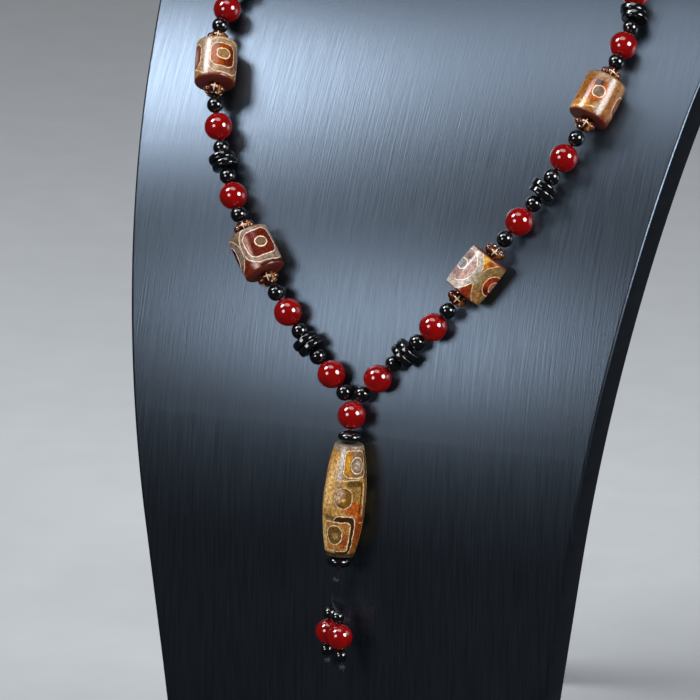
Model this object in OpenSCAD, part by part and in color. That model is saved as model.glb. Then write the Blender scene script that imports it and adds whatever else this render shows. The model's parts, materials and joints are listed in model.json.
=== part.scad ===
// A dzi bead necklace with a drop, worn by a plain neck bust.
// Millimetres, +Z up. The bust stands on Z = 0 and faces -Y, and its right side is +X.
// A place on the bust is given as across (along X), up (along its front face from the foot)
// and out (square to the front face, so that a minus sign is behind it).

/* [Bust] */
// Thickness of the board
board_t = 20; // [17:1:23]
// Width of the board at its foot
foot_w = 131; // [124:1:136]
// Width of the board below the shoulders
chest_w = 209; // [204:1:220]
// How far each side edge is hollowed between foot and shoulder
side_hollow = 1.2; // [0:0.2:3]
// Height of the chest's widest straight stretch
chest_h = 278; // [270:1:284]
// Height of the upright stretch of the board
upright_h = 98; // [94:1:102]
// Radius of the front face above the upright stretch
bend_r = 235; // [225:1:245]
// Lean of the board at the neck, in degrees
neck_lean = 50; // [46:1:52]
// Width of the neck
neck_w = 94; // [90:1:104]
// Length up the front face to the top of the neck
neck_up = 398; // [390:1:420]
// Height where the shoulder meets the neck
root_h = 300; // [296:1:304]
// Radius of a rounded shoulder tip
tip_r = 9; // [6:1:10]
// Radius where a shoulder meets the neck
root_r = 8; // [6:1:12]
// Width of the strut behind the board
strut_w = 36; // [24:1:44]
// Thickness of the strut
strut_t = 12; // [8:1:14]
// How far the strut's foot stands behind the board's front edge at the foot
strut_foot = 152; // [148:1:158]

/* [Round beads] */
// Diameter of the red agates
red_d = 9.8; // [9:0.1:10]
// Diameter of the small black onyx beads
black_d = 5.8; // [5:0.1:6]
// Diameter of the two red agates of the tassel
tassel_red_d = 9; // [8:0.1:9]
// Diameter of the four black beads of the tassel
tassel_black_d = 4.6; // [4:0.1:4.6]

/* [Spacers] */
// Diameter of a black disc
disc_d = 9.4; // [9:0.1:10]
// Thickness of a black disc
disc_t = 2.5; // [2.2:0.1:2.8]
// Bevel of a black disc's rims
disc_bevel = 0.6; // [0.3:0.1:0.8]
// How far each disc of a pair has slipped sideways
disc_slip = 0.35; // [0:0.05:0.5]
// Number of petals of a flower spacer
petals = 5; // [4:1:6]
// Diameter of one petal
petal_d = 3.4; // [3.2:0.1:3.8]
// Distance of the petals from the thread
petal_r = 2.2; // [2:0.1:2.4]
// Length of a flower spacer's hub along the thread
hub_l = 4.5; // [4.2:0.1:4.6]
// Diameter of a flower spacer's hub
hub_d = 4.2; // [3.8:0.1:4.4]
// Diameter of a rondelle above or below the long dzi
rondelle_d = 8.4; // [7:0.1:8.6]
// Thickness of a rondelle
rondelle_t = 4.4; // [3.6:0.1:4.6]

/* [Dzi beads] */
// Length of a barrel dzi
barrel_l = 15.8; // [15:0.1:16.4]
// Diameter of a barrel dzi at its middle
barrel_d = 14.8; // [13.4:0.1:14.8]
// Diameter of a barrel dzi at its ends
barrel_end_d = 14.3; // [12.4:0.1:14.4]
// Length of the long dzi
long_l = 39.6; // [36:0.1:39.6]
// Diameter of the long dzi at its middle
long_d = 14.7; // [13:0.1:15]
// Diameter of the long dzi at its ends
long_end_d = 10.2; // [9:0.1:11]
// Radius of the rounded rims of both kinds
dzi_rim = 0.8; // [0.4:0.1:1]

/* [Thread] */
// Diameter of the thread
thread_d = 0.8; // [0.6:0.1:0.8]
// Diameter of a bead's bore
bore_d = 1.3; // [1.2:0.1:1.4]
// Diameter of a disc's bore
disc_bore_d = 2; // [2:0.1:2.4]
// Diameter of a knot in the thread
knot_d = 2.2; // [1.8:0.1:2.4]

/* [Hidden] */
$fn = 48;
// Space between neighbouring beads, and between a bead and the board
bead_gap = 0.1;
seat_gap = 0.35;
// Extra space at a flower spacer's outer end, where the thread bends
hub_play = 0.4;
// How far the chest bulges between the ends of a barrel with its two spacers
chest_bulge = 0.35;
// How far the thread may come down towards the board over one bead
step_down = 1.5;
// The board's front face at the foot stands this far along Y from the origin
front_y = -76.9;
// Where the strut's top would stand behind the front edge at the foot, and its height there
strut_top_y = 78;
strut_top_z = 262;
// How far a shoulder's tip lies outside and above the widest straight stretch
tip_out = 2.5;
tip_up = 9;
// How far the outlines run past the board where they cut each other
spare = 40;
// Number of flat sides of the thread, and of flat steps round the board's bend
thread_sides = 8;
bend_steps = 40;
// The thread's corners are counted from a direction square to its way and to this one
thread_side = [0.1, 1, 0.2];
// Bore of a knot, and the space from the fork to the end of the tassel's own thread
knot_bore_d = 1.1;
fork_gap = 0.75;

// Order of the pieces from the join up each side: B black, R red, D pair of discs,
// Z barrel dzi with a flower spacer at each end. The right side lacks one black bead, as the
// real one does, and the left side ends with the pair of discs behind the neck.
left_chain = "BRBDBRBZBRBDBRBZBRBDBRBZBRBDBRBZBRBD";
right_chain = "BRBDBRBZBRBDBRBZBRBDRBZBRBDBRBZBRB";

// A strand's way from the join over the chest and round the neck.
// Columns: across, up, out, rest. Where rest is 1 the thread runs half a bead off the
// front face, and where rest is 0 it runs at out. Across is counted outwards on the
// shared stretch round the neck.
left_front = [
    [-2, 151.2, 0, 1],
    [-9.5, 159.3, 0, 1],
    [-19.5, 168.6, 0, 1],
    [-28.5, 179, 0, 1],
    [-34, 186, 0, 1],
    [-41.5, 197.6, 0, 1],
    [-50.5, 208.5, 0, 1],
    [-55, 216.5, 0, 1],
    [-61.5, 228.5, 0, 1],
    [-66, 241, 0, 1],
    [-69.2, 250, 0, 1],
    [-71.5, 262.8, 0, 1],
    [-74.3, 275.5, 0, 1],
    [-74, 285, 0, 1],
    [-73.5, 299, 2, 0.75]];
right_front = [
    [0.6, 151.2, 0, 1],
    [7.5, 159.3, 0, 1],
    [16.2, 168.6, 0, 1],
    [26, 178.8, 0, 1],
    [31.7, 186, 0, 1],
    [40, 196.6, 0, 1],
    [46, 208.5, 0, 1],
    [50, 216.8, 0, 1],
    [56.5, 228.4, 0, 1],
    [61.3, 240.8, 0, 1],
    [66, 249.5, 0, 1],
    [70.8, 261, 0, 1],
    [72.6, 273.5, 0, 1],
    [72.5, 283, 0, 1],
    [73.6, 295.5, 1, 0.85]];
round_neck = [
    [71.5, 311, 6.6, 0.4],
    [69.8, 321, 9.4, 0],
    [67.2, 334, 10, 0],
    [65.2, 344.5, 7.4, 0],
    [63.7, 351.8, 2, 0],
    [62.2, 357.8, -4.6, 0],
    [60, 361.5, -12, 0],
    [56.7, 365.5, -19.5, 0],
    [51.5, 367.8, -26, 0],
    [45, 369.2, -30.2, 0],
    [36, 369.6, -33.2, 0],
    [25, 369.6, -34.7, 0],
    [13, 369.6, -35.2, 0],
    [0, 369.6, -35.4, 0],
    [-13, 369.6, -35.2, 0],
    [-25, 369.6, -34.7, 0]];

// The drop's red bead hangs from the join to the top of the long dzi and its two rondelles,
// which hang straight towards their foot. Columns: across, up, out.
join_row = [-0.6, 151.3, 5.4];
drop_top_row = [0.4, 141.2, 7.9];
drop_foot_row = [-1.4, 93, 9.6];
// Slack thread below the drop, with a knot on its first stretch, down to the fork
slack = [[-2, 90.4, 9.2], [-3, 88, 8.3], [-3.7, 85.9, 7.5], [-4.4, 83.2, 6.9], [-4.5, 80.2, 7.2]];
// Ends of the black, red and black bead on the two tassel threads, and of the thread's tail
tassel_left = [[-5.9, 77.7, 5.6], [-6.2, 73, 4.95], [-6.9, 63.9, 4.95], [-7.5, 59.2, 4.2], [-7.1, 55.6, 3.4]];
tassel_right = [[-1.9, 78.4, 9.7], [-0.5, 73.9, 10.8], [0.6, 64.9, 11.6], [0.7, 60.2, 11.6], [1.5, 56.6, 11.4]];

bend_len = bend_r * neck_lean * PI / 180;

// Geometry of the board and of the thread's way over it
function lean(up) = min(max(up - upright_h, 0) / bend_r * 180 / PI, neck_lean);
function place(across, up, out) =
    let (a = lean(up), over = max(up - upright_h - bend_len, 0))
    [across,
     front_y + bend_r * (1 - cos(a)) + over * sin(a) - out * cos(a),
     min(up, upright_h) + bend_r * sin(a) + over * cos(a) + out * sin(a)];
function place_row(row) = place(row[0], row[1], row[2]);
function outward(rows, side) = [for (row = rows) [side * row[0], row[1], row[2], row[3]]];
function route(front, side) = concat(front, outward(round_neck, side));

// A smooth curve through the rows: t counts rows, and each stretch is a cubic
function row_at(rows, i) = rows[min(max(i, 0), len(rows) - 1)];
function curve(rows, t) =
    let (i = floor(t), f = t - i,
         a = row_at(rows, i - 1), b = row_at(rows, i), c = row_at(rows, i + 1), d = row_at(rows, i + 2))
    b + f * (c - a) / 2 + f * f * (a - 2.5 * b + 2 * c - d / 2) + f * f * f * (1.5 * (b - c) + (d - a) / 2);
function way(rows, t, height) =
    let (row = curve(rows, t))
    place(row[0], row[1], row[2] + row[3] * height);
function row_step(rows, t) = norm(way(rows, t + 0.1, 0) - way(rows, t - 0.1, 0)) / 0.2;

// Length along the thread that each kind of bead takes, and the thread's height at its ends
function piece_len(kind) =
    kind == "B" ? black_d : kind == "R" ? red_d : kind == "D" ? 2 * disc_t + bead_gap :
    barrel_l + 2 * (hub_l + bead_gap + hub_play);
function piece_height(kind) =
    seat_gap + (kind == "Z" ? barrel_d / 2 + chest_bulge : kind == "D" ? disc_d / 2 + disc_slip : red_d / 2);
function height_at(chain, i) = piece_height(chain[min(max(i, 0), len(chain) - 1)]);
function end_height(chain, i) =
    max(height_at(chain, i - 1), height_at(chain, i),
        max(height_at(chain, i - 2), height_at(chain, i + 1)) - step_down);

// Walks up the route bead by bead, so that each end lies one piece's length from the last
function reach(rows, t, height, from, need, tries = 7) =
    tries == 0 ? t :
    reach(rows, t + (need - norm(way(rows, t, height) - from)) / row_step(rows, t),
          height, from, need, tries - 1);
function walk(rows, chain, i, t, ends) =
    i == len(chain) ? ends :
    let (height = end_height(chain, i + 1),
         next = reach(rows, t + 0.3, height, ends[i], piece_len(chain[i]) + bead_gap))
    walk(rows, chain, i + 1, next, concat(ends, [way(rows, next, height)]));
function strand(front, side, chain) =
    let (rows = route(front, side))
    walk(rows, chain, 0, 0, [way(rows, 0, end_height(chain, 0))]);

left_ends = strand(left_front, -1, left_chain);
right_ends = strand(right_front, 1, right_chain);
join = place_row(join_row);
drop_top = place_row(drop_top_row);
drop_way = (place_row(drop_foot_row) - drop_top) / norm(place_row(drop_foot_row) - drop_top);
// Lengths down the drop to the ends of the upper rondelle, the long dzi and the lower rondelle
drop_stops = [0, rondelle_t, rondelle_t + bead_gap, rondelle_t + bead_gap + long_l,
              rondelle_t + 2 * bead_gap + long_l, 2 * rondelle_t + 2 * bead_gap + long_l];
drop = [for (stop = drop_stops) drop_top + stop * drop_way];
red_way = (join - drop_top) / norm(join - drop_top);
tassel_a = [for (row = tassel_left) place_row(row)];
tassel_b = [for (row = tassel_right) place_row(row)];
slack_way = [for (row = slack) place_row(row)];
function reversed(list) = [for (i = [len(list) - 1:-1:0]) list[i]];
function places_of(chain, kind) = [for (i = [0:len(chain) - 1]) if (chain[i] == kind) i];

// Points of an arc that rounds the corner b between a and c
function round_corner(a, b, c, r, steps = 5) =
    let (u = (a - b) / norm(a - b), v = (c - b) / norm(c - b), half = acos(u * v) / 2,
         mid = b + (u + v) / norm(u + v) * r / sin(half),
         first = b + u * r / tan(half) - mid, last = b + v * r / tan(half) - mid,
         start = atan2(first.y, first.x), turn = atan2(last.y, last.x) - start,
         sweep = turn > 180 ? turn - 360 : turn < -180 ? turn + 360 : turn)
    [for (k = [0:steps]) mid + r * [cos(start + sweep * k / steps), sin(start + sweep * k / steps)]];

// Bust
shoulder_tip = [chest_w / 2 + tip_out, chest_h + tip_up];
function side_edge(t) =
    [(foot_w + (chest_w - foot_w) * t) / 2 - 4 * side_hollow * t * (1 - t), chest_h * t];
half_outline = concat(
    [for (k = [0:11]) side_edge(k / 12)],
    round_corner(side_edge(11 / 12), shoulder_tip, [neck_w / 2, root_h], tip_r),
    round_corner(shoulder_tip, [neck_w / 2, root_h], [neck_w / 2, root_h + spare], root_r),
    [[neck_w / 2, root_h + 2 * spare]]);

module front_outline() {
    polygon(concat(half_outline, [for (p = reversed(half_outline)) [-p.x, p.y]]));
}

// Side view of the board, y and z, with its front face first
side_ups = concat([0], [for (k = [0:bend_steps]) upright_h + bend_len * k / bend_steps], [neck_up]);
function side_line(out) = [for (up = side_ups) let (p = place(0, up, out)) [p.y, p.z]];

module board_side() {
    polygon(concat(side_line(0), reversed(side_line(-board_t))));
}

module from_side(width) {
    translate([-width / 2, 0, 0])
        rotate([90, 0, 90])
            linear_extrude(width)
                children();
}

module bust_board() {
    color("#2f343d")
        intersection() {
            from_side(chest_w + spare) board_side();
            translate([0, front_y + bend_r + spare, 0])
                rotate([90, 0, 0])
                    linear_extrude(bend_r + 2 * spare)
                        front_outline();
        }
}

// A plain strut that ends just short of the board's hollow back
module bust_strut() {
    color("#23272e")
        from_side(strut_w)
            intersection() {
                polygon([for (p = [[strut_foot, 0], [strut_foot + strut_t, 0],
                                   [strut_top_y + strut_t, strut_top_z], [strut_top_y, strut_top_z]])
                             p + [front_y, 0]]);
                translate([front_y + bend_r, upright_h])
                    circle(bend_r - board_t - seat_gap, $fn = 4 * $fn);
            }
}

// Beads, each drawn round the Z axis with its middle at the origin
module along(a, b) {
    d = b - a;
    translate((a + b) / 2)
        rotate([0, acos(d.z / norm(d)), atan2(d.y, d.x)])
            children();
}

module bore(d, length) {
    cylinder(d = d, h = length + 2, center = true, $fn = 24);
}

module ball(d) {
    difference() {
        sphere(d = d);
        bore(bore_d, d);
    }
}

module discs() {
    for (side = [-1, 1])
        translate([0, side * disc_slip, side * (disc_t + bead_gap) / 2])
            difference() {
                rotate_extrude()
                    polygon([[0, -disc_t / 2], [disc_d / 2 - disc_bevel, -disc_t / 2],
                             [disc_d / 2, disc_bevel - disc_t / 2], [disc_d / 2, disc_t / 2 - disc_bevel],
                             [disc_d / 2 - disc_bevel, disc_t / 2], [0, disc_t / 2]]);
                bore(disc_bore_d, disc_t);
            }
}

module flower() {
    difference() {
        union() {
            for (i = [0:petals - 1])
                rotate(i * 360 / petals)
                    translate([petal_r, 0, 0])
                        sphere(d = petal_d);
            cylinder(d = hub_d, h = hub_l, center = true);
        }
        bore(bore_d, hub_l);
    }
}

// Half outline of a dzi: two rounded rims joined by a shallow arc
function dzi_half(l, d, end_d) =
    concat([[0, -l / 2], [end_d / 2 - dzi_rim, -l / 2]],
           [for (a = [30, 60]) [end_d / 2 - dzi_rim + dzi_rim * sin(a), -l / 2 + dzi_rim - dzi_rim * cos(a)]],
           [for (k = [-5:5])
                let (z = k / 5 * (l / 2 - dzi_rim))
                [d / 2 - (d - end_d) / 2 * pow(k / 5, 2), z]],
           [for (a = [60, 30]) [end_d / 2 - dzi_rim + dzi_rim * sin(a), l / 2 - dzi_rim + dzi_rim * cos(a)]],
           [[end_d / 2 - dzi_rim, l / 2], [0, l / 2]]);

module dzi(l, d, end_d) {
    difference() {
        rotate_extrude()
            polygon(dzi_half(l, d, end_d));
        bore(bore_d, l);
    }
}

module rondelle() {
    difference() {
        rotate_extrude()
            polygon([for (a = [-90:15:90])
                         [rondelle_d / 2 * pow(cos(a), 0.8), rondelle_t / 2 * sin(a)]]);
        bore(bore_d, rondelle_t);
    }
}

// The pieces of one strand
module on_strand(ends, i) {
    along(ends[i], ends[i + 1]) children();
}

module black_beads(ends, chain) {
    color("#0b0b0d")
        for (i = places_of(chain, "B"))
            on_strand(ends, i) ball(black_d);
}

module disc_pairs(ends, chain) {
    color("#101013")
        for (i = places_of(chain, "D"))
            on_strand(ends, i) discs();
}

module flower_spacers(ends, chain) {
    color("#6b3410")
        for (i = places_of(chain, "Z"), side = [-1, 1])
            on_strand(ends, i)
                translate([0, 0, side * (barrel_l / 2 + bead_gap + hub_l / 2)])
                    flower();
}

module red_bead(ends, chain, number) {
    color("#a01010")
        on_strand(ends, places_of(chain, "R")[number - 1]) ball(red_d);
}

module barrel_dzi(ends, chain, number) {
    color("#a87444")
        on_strand(ends, places_of(chain, "Z")[number - 1]) dzi(barrel_l, barrel_d, barrel_end_d);
}

// The drop
module centre_red() {
    color("#a01010")
        translate(drop_top + (red_d / 2 + seat_gap) * red_way)
            rotate([0, acos(red_way.z), atan2(red_way.y, red_way.x)])
                ball(red_d);
}

module rondelle_upper() {
    color("#0b0b0d") along(drop[0], drop[1]) rondelle();
}

module long_dzi() {
    color("#b07c3c") along(drop[2], drop[3]) dzi(long_l, long_d, long_end_d);
}

module rondelle_lower() {
    color("#0b0b0d") along(drop[4], drop[5]) rondelle();
}

module tassel_red_left() {
    color("#a01010") along(tassel_a[1], tassel_a[2]) ball(tassel_red_d);
}

module tassel_red_right() {
    color("#a01010") along(tassel_b[1], tassel_b[2]) ball(tassel_red_d);
}

module tassel_black() {
    color("#0b0b0d")
        for (ends = [tassel_a, tassel_b], i = [0, 2])
            along(ends[i], ends[i + 1]) ball(tassel_black_d);
}

// Thread: one tube swept along each way, with a ring of corners square to it at each point
function ring(a, b, c) =
    let (d = (c - a) / norm(c - a), flat = cross(d, thread_side), u = flat / norm(flat), v = cross(d, u))
    [for (k = [0:thread_sides - 1])
        let (angle = 360 * k / thread_sides)
        b + thread_d / 2 * (u * cos(angle) + v * sin(angle))];

module tube(points) {
    n = len(points);
    rings = [for (i = [0:n - 1]) each ring(points[max(i - 1, 0)], points[i], points[min(i + 1, n - 1)])];
    walls = [for (i = [0:n - 2], k = [0:thread_sides - 1])
                 let (a = i * thread_sides, b = a + thread_sides, m = (k + 1) % thread_sides)
                 each [[a + m, a + k, b + k], [a + m, b + k, b + m]]];
    first_cap = [for (k = [0:thread_sides - 1]) k];
    last_cap = [for (k = first_cap) n * thread_sides - 1 - k];
    polyhedron(rings, concat(walls, [first_cap, last_cap]));
}

// The thread comes up from the left end of the tassel through the drop, goes once round the
// loop and ends back at the join. The tassel's right end hangs from it at the fork.
fork = slack_way[len(slack_way) - 1];
fork_way = (tassel_b[0] - fork) / norm(tassel_b[0] - fork);

module thread() {
    color("#121216")
        tube(concat(reversed(tassel_a), reversed(slack_way), [drop[5], drop[0], join],
                    left_ends, reversed(right_ends)));
}

module tassel_thread() {
    color("#121216")
        tube(concat([fork + fork_gap * fork_way], tassel_b));
}

// A knot on the thread between two points, with the thread through it
module knot(a, b) {
    along(a, b)
        difference() {
            sphere(d = knot_d);
            bore(knot_bore_d, knot_d);
        }
}

module knots() {
    color("#16161a") {
        knot(slack_way[0], slack_way[1]);
        knot(tassel_a[3], tassel_a[4]);
        knot(tassel_b[3], tassel_b[4]);
    }
}

bust_board();
bust_strut();
thread();
tassel_thread();
knots();
long_dzi();
centre_red();
rondelle_upper();
rondelle_lower();
tassel_red_left();
tassel_red_right();
tassel_black();
black_beads(left_ends, left_chain);  // black_left
black_beads(right_ends, right_chain);  // black_right
disc_pairs(left_ends, left_chain);  // discs_left
disc_pairs(right_ends, right_chain);  // discs_right
flower_spacers(left_ends, left_chain);  // flowers_left
flower_spacers(right_ends, right_chain);  // flowers_right
for (i = [1:4])
    barrel_dzi(left_ends, left_chain, i);
for (i = [1:4])
    barrel_dzi(right_ends, right_chain, i);
for (i = [1:9])
    red_bead(left_ends, left_chain, i);
for (i = [1:9])
    red_bead(right_ends, right_chain, i);
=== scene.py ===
"""Looks of a dzi bead necklace on a neck bust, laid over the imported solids."""

import json
import math

import bpy
import numpy as np
from mathutils import Matrix, Vector

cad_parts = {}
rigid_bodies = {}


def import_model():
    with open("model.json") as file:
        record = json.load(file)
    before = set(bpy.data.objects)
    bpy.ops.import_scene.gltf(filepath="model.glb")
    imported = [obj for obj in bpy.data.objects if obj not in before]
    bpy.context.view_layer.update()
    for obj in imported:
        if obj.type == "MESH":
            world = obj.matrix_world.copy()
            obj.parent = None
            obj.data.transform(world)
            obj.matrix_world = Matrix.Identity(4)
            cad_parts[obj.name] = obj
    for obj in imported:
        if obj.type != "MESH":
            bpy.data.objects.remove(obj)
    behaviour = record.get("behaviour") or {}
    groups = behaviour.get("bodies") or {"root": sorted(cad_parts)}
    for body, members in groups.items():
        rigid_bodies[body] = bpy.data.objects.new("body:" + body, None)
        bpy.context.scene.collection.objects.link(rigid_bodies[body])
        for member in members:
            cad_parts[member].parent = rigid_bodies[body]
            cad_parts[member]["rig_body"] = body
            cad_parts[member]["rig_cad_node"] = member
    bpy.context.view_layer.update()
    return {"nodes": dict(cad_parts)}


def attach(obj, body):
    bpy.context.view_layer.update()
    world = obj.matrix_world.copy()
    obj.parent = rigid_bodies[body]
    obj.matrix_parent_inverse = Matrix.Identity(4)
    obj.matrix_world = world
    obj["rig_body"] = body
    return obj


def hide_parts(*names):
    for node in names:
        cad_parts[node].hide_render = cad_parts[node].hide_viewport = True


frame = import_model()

MM = 0.001
# Places nearer than this, in metres, count as the same
NEAR = 1e-6

bl_info = {
    "name": "Dzi bead necklace",
    "version": (1, 0, 0),
    "blender": (4, 5, 0),
    "location": "View3D > Sidebar > Necklace",
    "description": "Models the beads, the thread and the bust of a dzi bead necklace",
    "category": "Object",
}

SIDES = ("left", "right")
REDS = [f"red_{side}_{i}" for side in SIDES for i in range(1, 10)]

# Where the photograph was taken from: turned to the right of the bust's front, looking down and rolled,
# with its distance and the point it looks at in metres, and its lens in millimetres
CAMERA_TURN = math.radians(20.570)
CAMERA_DOWN = math.radians(16.494)
CAMERA_ROLL = math.radians(0.678)
CAMERA_AWAY = 2.0042
CAMERA_AIM = Vector((-0.03045, 0, 0.14567))
CAMERA_LENS = 286.9

# Drawings on the barrels and the long bead, laid on in order. Places are in millimetres round the bead,
# to the right of the side that faces the camera, and along it, upwards on its strand.
# Columns: across, along, turn in degrees, half width, half height, corner radius, line width (0 is
# filled), soft edge, strength, colour
# Some rows are not marks in the stone: they are painted highlights and painted shade, each marked where it
# stands.
LOWER_LEFT = [
    (3, 7.3, 0, 7.5, 1.3, 1, 0, 0.5, 0.8, "8c7058"),
    (2, -7.6, -3, 14, 1.4, 1, 0, 0.4, 1, "3c120a"),
    (-5.4, -5.4, 0, 3.8, 2.9, 1.6, 0, 0.3, 1, "60200c"),
    (-11.6, 0.8, 0, 6.9, 6.4, 6, 0, 0.3, 0.85, "786258"),
    (-11.6, 0.8, 0, 6.9, 6.4, 6, 0.34, 0.12, 0.9, "d8b494"),
    (-11.8, 0.8, 0, 3.9, 4.4, 3.2, 0, 0.2, 1, "34120c"),
    (-11.8, 0.8, 0, 3.9, 4.4, 3.2, 0.36, 0.12, 1, "ecd0b4"),
    (-11.8, 0.8, 0, 1.7, 1.7, 1.7, 0, 0.15, 1, "6c523c"),
    (4.1, 1.1, 3, 8.5, 7, 6, 0, 0.3, 0.85, "866e62"),
    (4.1, 1.1, 3, 8.5, 7, 6, 0.34, 0.12, 0.95, "e0c6aa"),
    (-2.2, -6.1, 20, 1.7, 0.8, 0.7, 0, 0.6, 0.6, "a87064"),
    (3, 1.2, -3, 5.7, 4.9, 3.2, 0, 0.15, 1, "581a0c"),
    (6.2, -1.4, 30, 2, 1.6, 1.5, 0, 1.2, 0.6, "641e0c"),
    (0.5, 4, 30, 1.6, 1.2, 1.1, 0, 1, 0.5, "70302a"),
    (-1.8, 1.6, 6, 0.9, 3.4, 0.8, 0, 0.6, 0.8, "a87c6c"),
    (3, 1.2, -3, 5.7, 4.9, 3.2, 0.36, 0.12, 1, "ecc9aa"),
    (3.4, 1.2, 0, 2.1, 1.8, 1.8, 0, 0.12, 1, "6c523c"),
    (3.4, 1.2, 0, 2.15, 1.85, 1.85, 0.36, 0.12, 1, "f0cda8"),
    (18.7, 0.6, 0, 4.4, 6.4, 4, 0, 0.3, 0.8, "866e62"),
    (18.7, 0.6, 0, 3.6, 4.4, 2.8, 0, 0.15, 1, "581a0c"),
    (18.7, 0.6, 0, 3.6, 4.4, 2.8, 0.36, 0.12, 1, "ecc9aa"),
    (18.7, 0.6, 0, 1.8, 1.8, 1.8, 0, 0.12, 1, "6c523c"),
    (18.7, 0.6, 0, 1.8, 1.8, 1.8, 0.36, 0.12, 1, "f0cda8"),
]
UPPER_LEFT = [
    (0, 7, 0, 23, 1.6, 0.8, 0, 0.5, 0.8, "987a54"),
    # Partly the stone's pale zone round the ring, partly a painted highlight: an upright pale band where
    # the left lamps' reflection falls.
    (-3.8, 0, 0, 1.6, 7.4, 1.4, 0, 0.8, 0.55, "b0a090"),
    (-3.4, -5.6, 10, 2.6, 1.1, 1, 0, 0.7, 0.7, "b08478"),
    (-7.6, -6, 28, 2.4, 0.9, 0.8, 0, 0.5, 0.8, "906a38"),
    (-6.9, -5.4, 28, 3.2, 0.18, 0.18, 0, 0.12, 0.9, "e8c8a0"),
    (-10.4, 0.8, 0, 4.4, 4.9, 3.4, 0, 0.15, 0.95, "6c3420"),
    (-10.4, 0.4, 0, 2.7, 3.4, 2.4, 0, 0.4, 0.8, "a08070"),
    (-10.4, 0.8, 0, 4.4, 4.9, 3.4, 0.36, 0.12, 1, "e8c4a8"),
    (3.4, 0.3, 0, 6.9, 6.7, 4.6, 0, 0.3, 0.7, "907660"),
    (6.8, -4.8, 20, 2.4, 1, 0.9, 0, 0.7, 0.8, "94683f"),
    # Painted shade: a darker upright band down the barrel's right flank.
    (8.9, 0, 0, 1.3, 6, 1.2, 0, 0.8, 0.85, "643c2c"),
    (3.4, 0.3, 0, 6.9, 6.7, 4.6, 0.34, 0.12, 0.95, "e2c09a"),
    (0, -7.6, 0, 23, 0.7, 0.6, 0, 0.4, 0.9, "6e2412"),
    (3.2, 5.9, 0, 4.6, 0.8, 0.7, 0, 0.5, 0.7, "96764c"),
    (2.5, 0.4, 0, 4.7, 4.5, 3, 0, 0.15, 1, "963f08"),
    (4.8, -2.6, 30, 2.6, 1.8, 1.7, 0, 1, 0.8, "540f04"),
    (5.8, 1, 0, 1.5, 3.2, 1.3, 0, 0.8, 0.85, "521404"),
    (0.4, 4.4, 30, 1, 1.1, 0.9, 0, 0.5, 0.6, "48180a"),
    (-0.9, -0.2, 0, 0.9, 3, 0.9, 0, 0.6, 0.6, "a8540c"),
    (2.5, 0.4, 0, 4.7, 4.5, 3, 0.36, 0.12, 1, "e0b890"),
    (2.6, 0.9, 0, 2.4, 1.9, 1.9, 0, 0.12, 1, "8e683f"),
    (2.6, 0.9, 0, 2.45, 1.95, 1.95, 0.36, 0.12, 1, "ecc8a0"),
    (16.4, 0.4, 0, 4.6, 4.5, 3, 0, 0.15, 1, "8a3a0a"),
    (16.4, 0.4, 0, 4.6, 4.5, 3, 0.36, 0.12, 1, "e0b890"),
    (16.4, 0.8, 0, 2.2, 1.9, 1.9, 0, 0.12, 1, "8e683f"),
    (16.4, 0.8, 0, 2.2, 1.9, 1.9, 0.36, 0.12, 1, "ecc8a0"),
]
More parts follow.
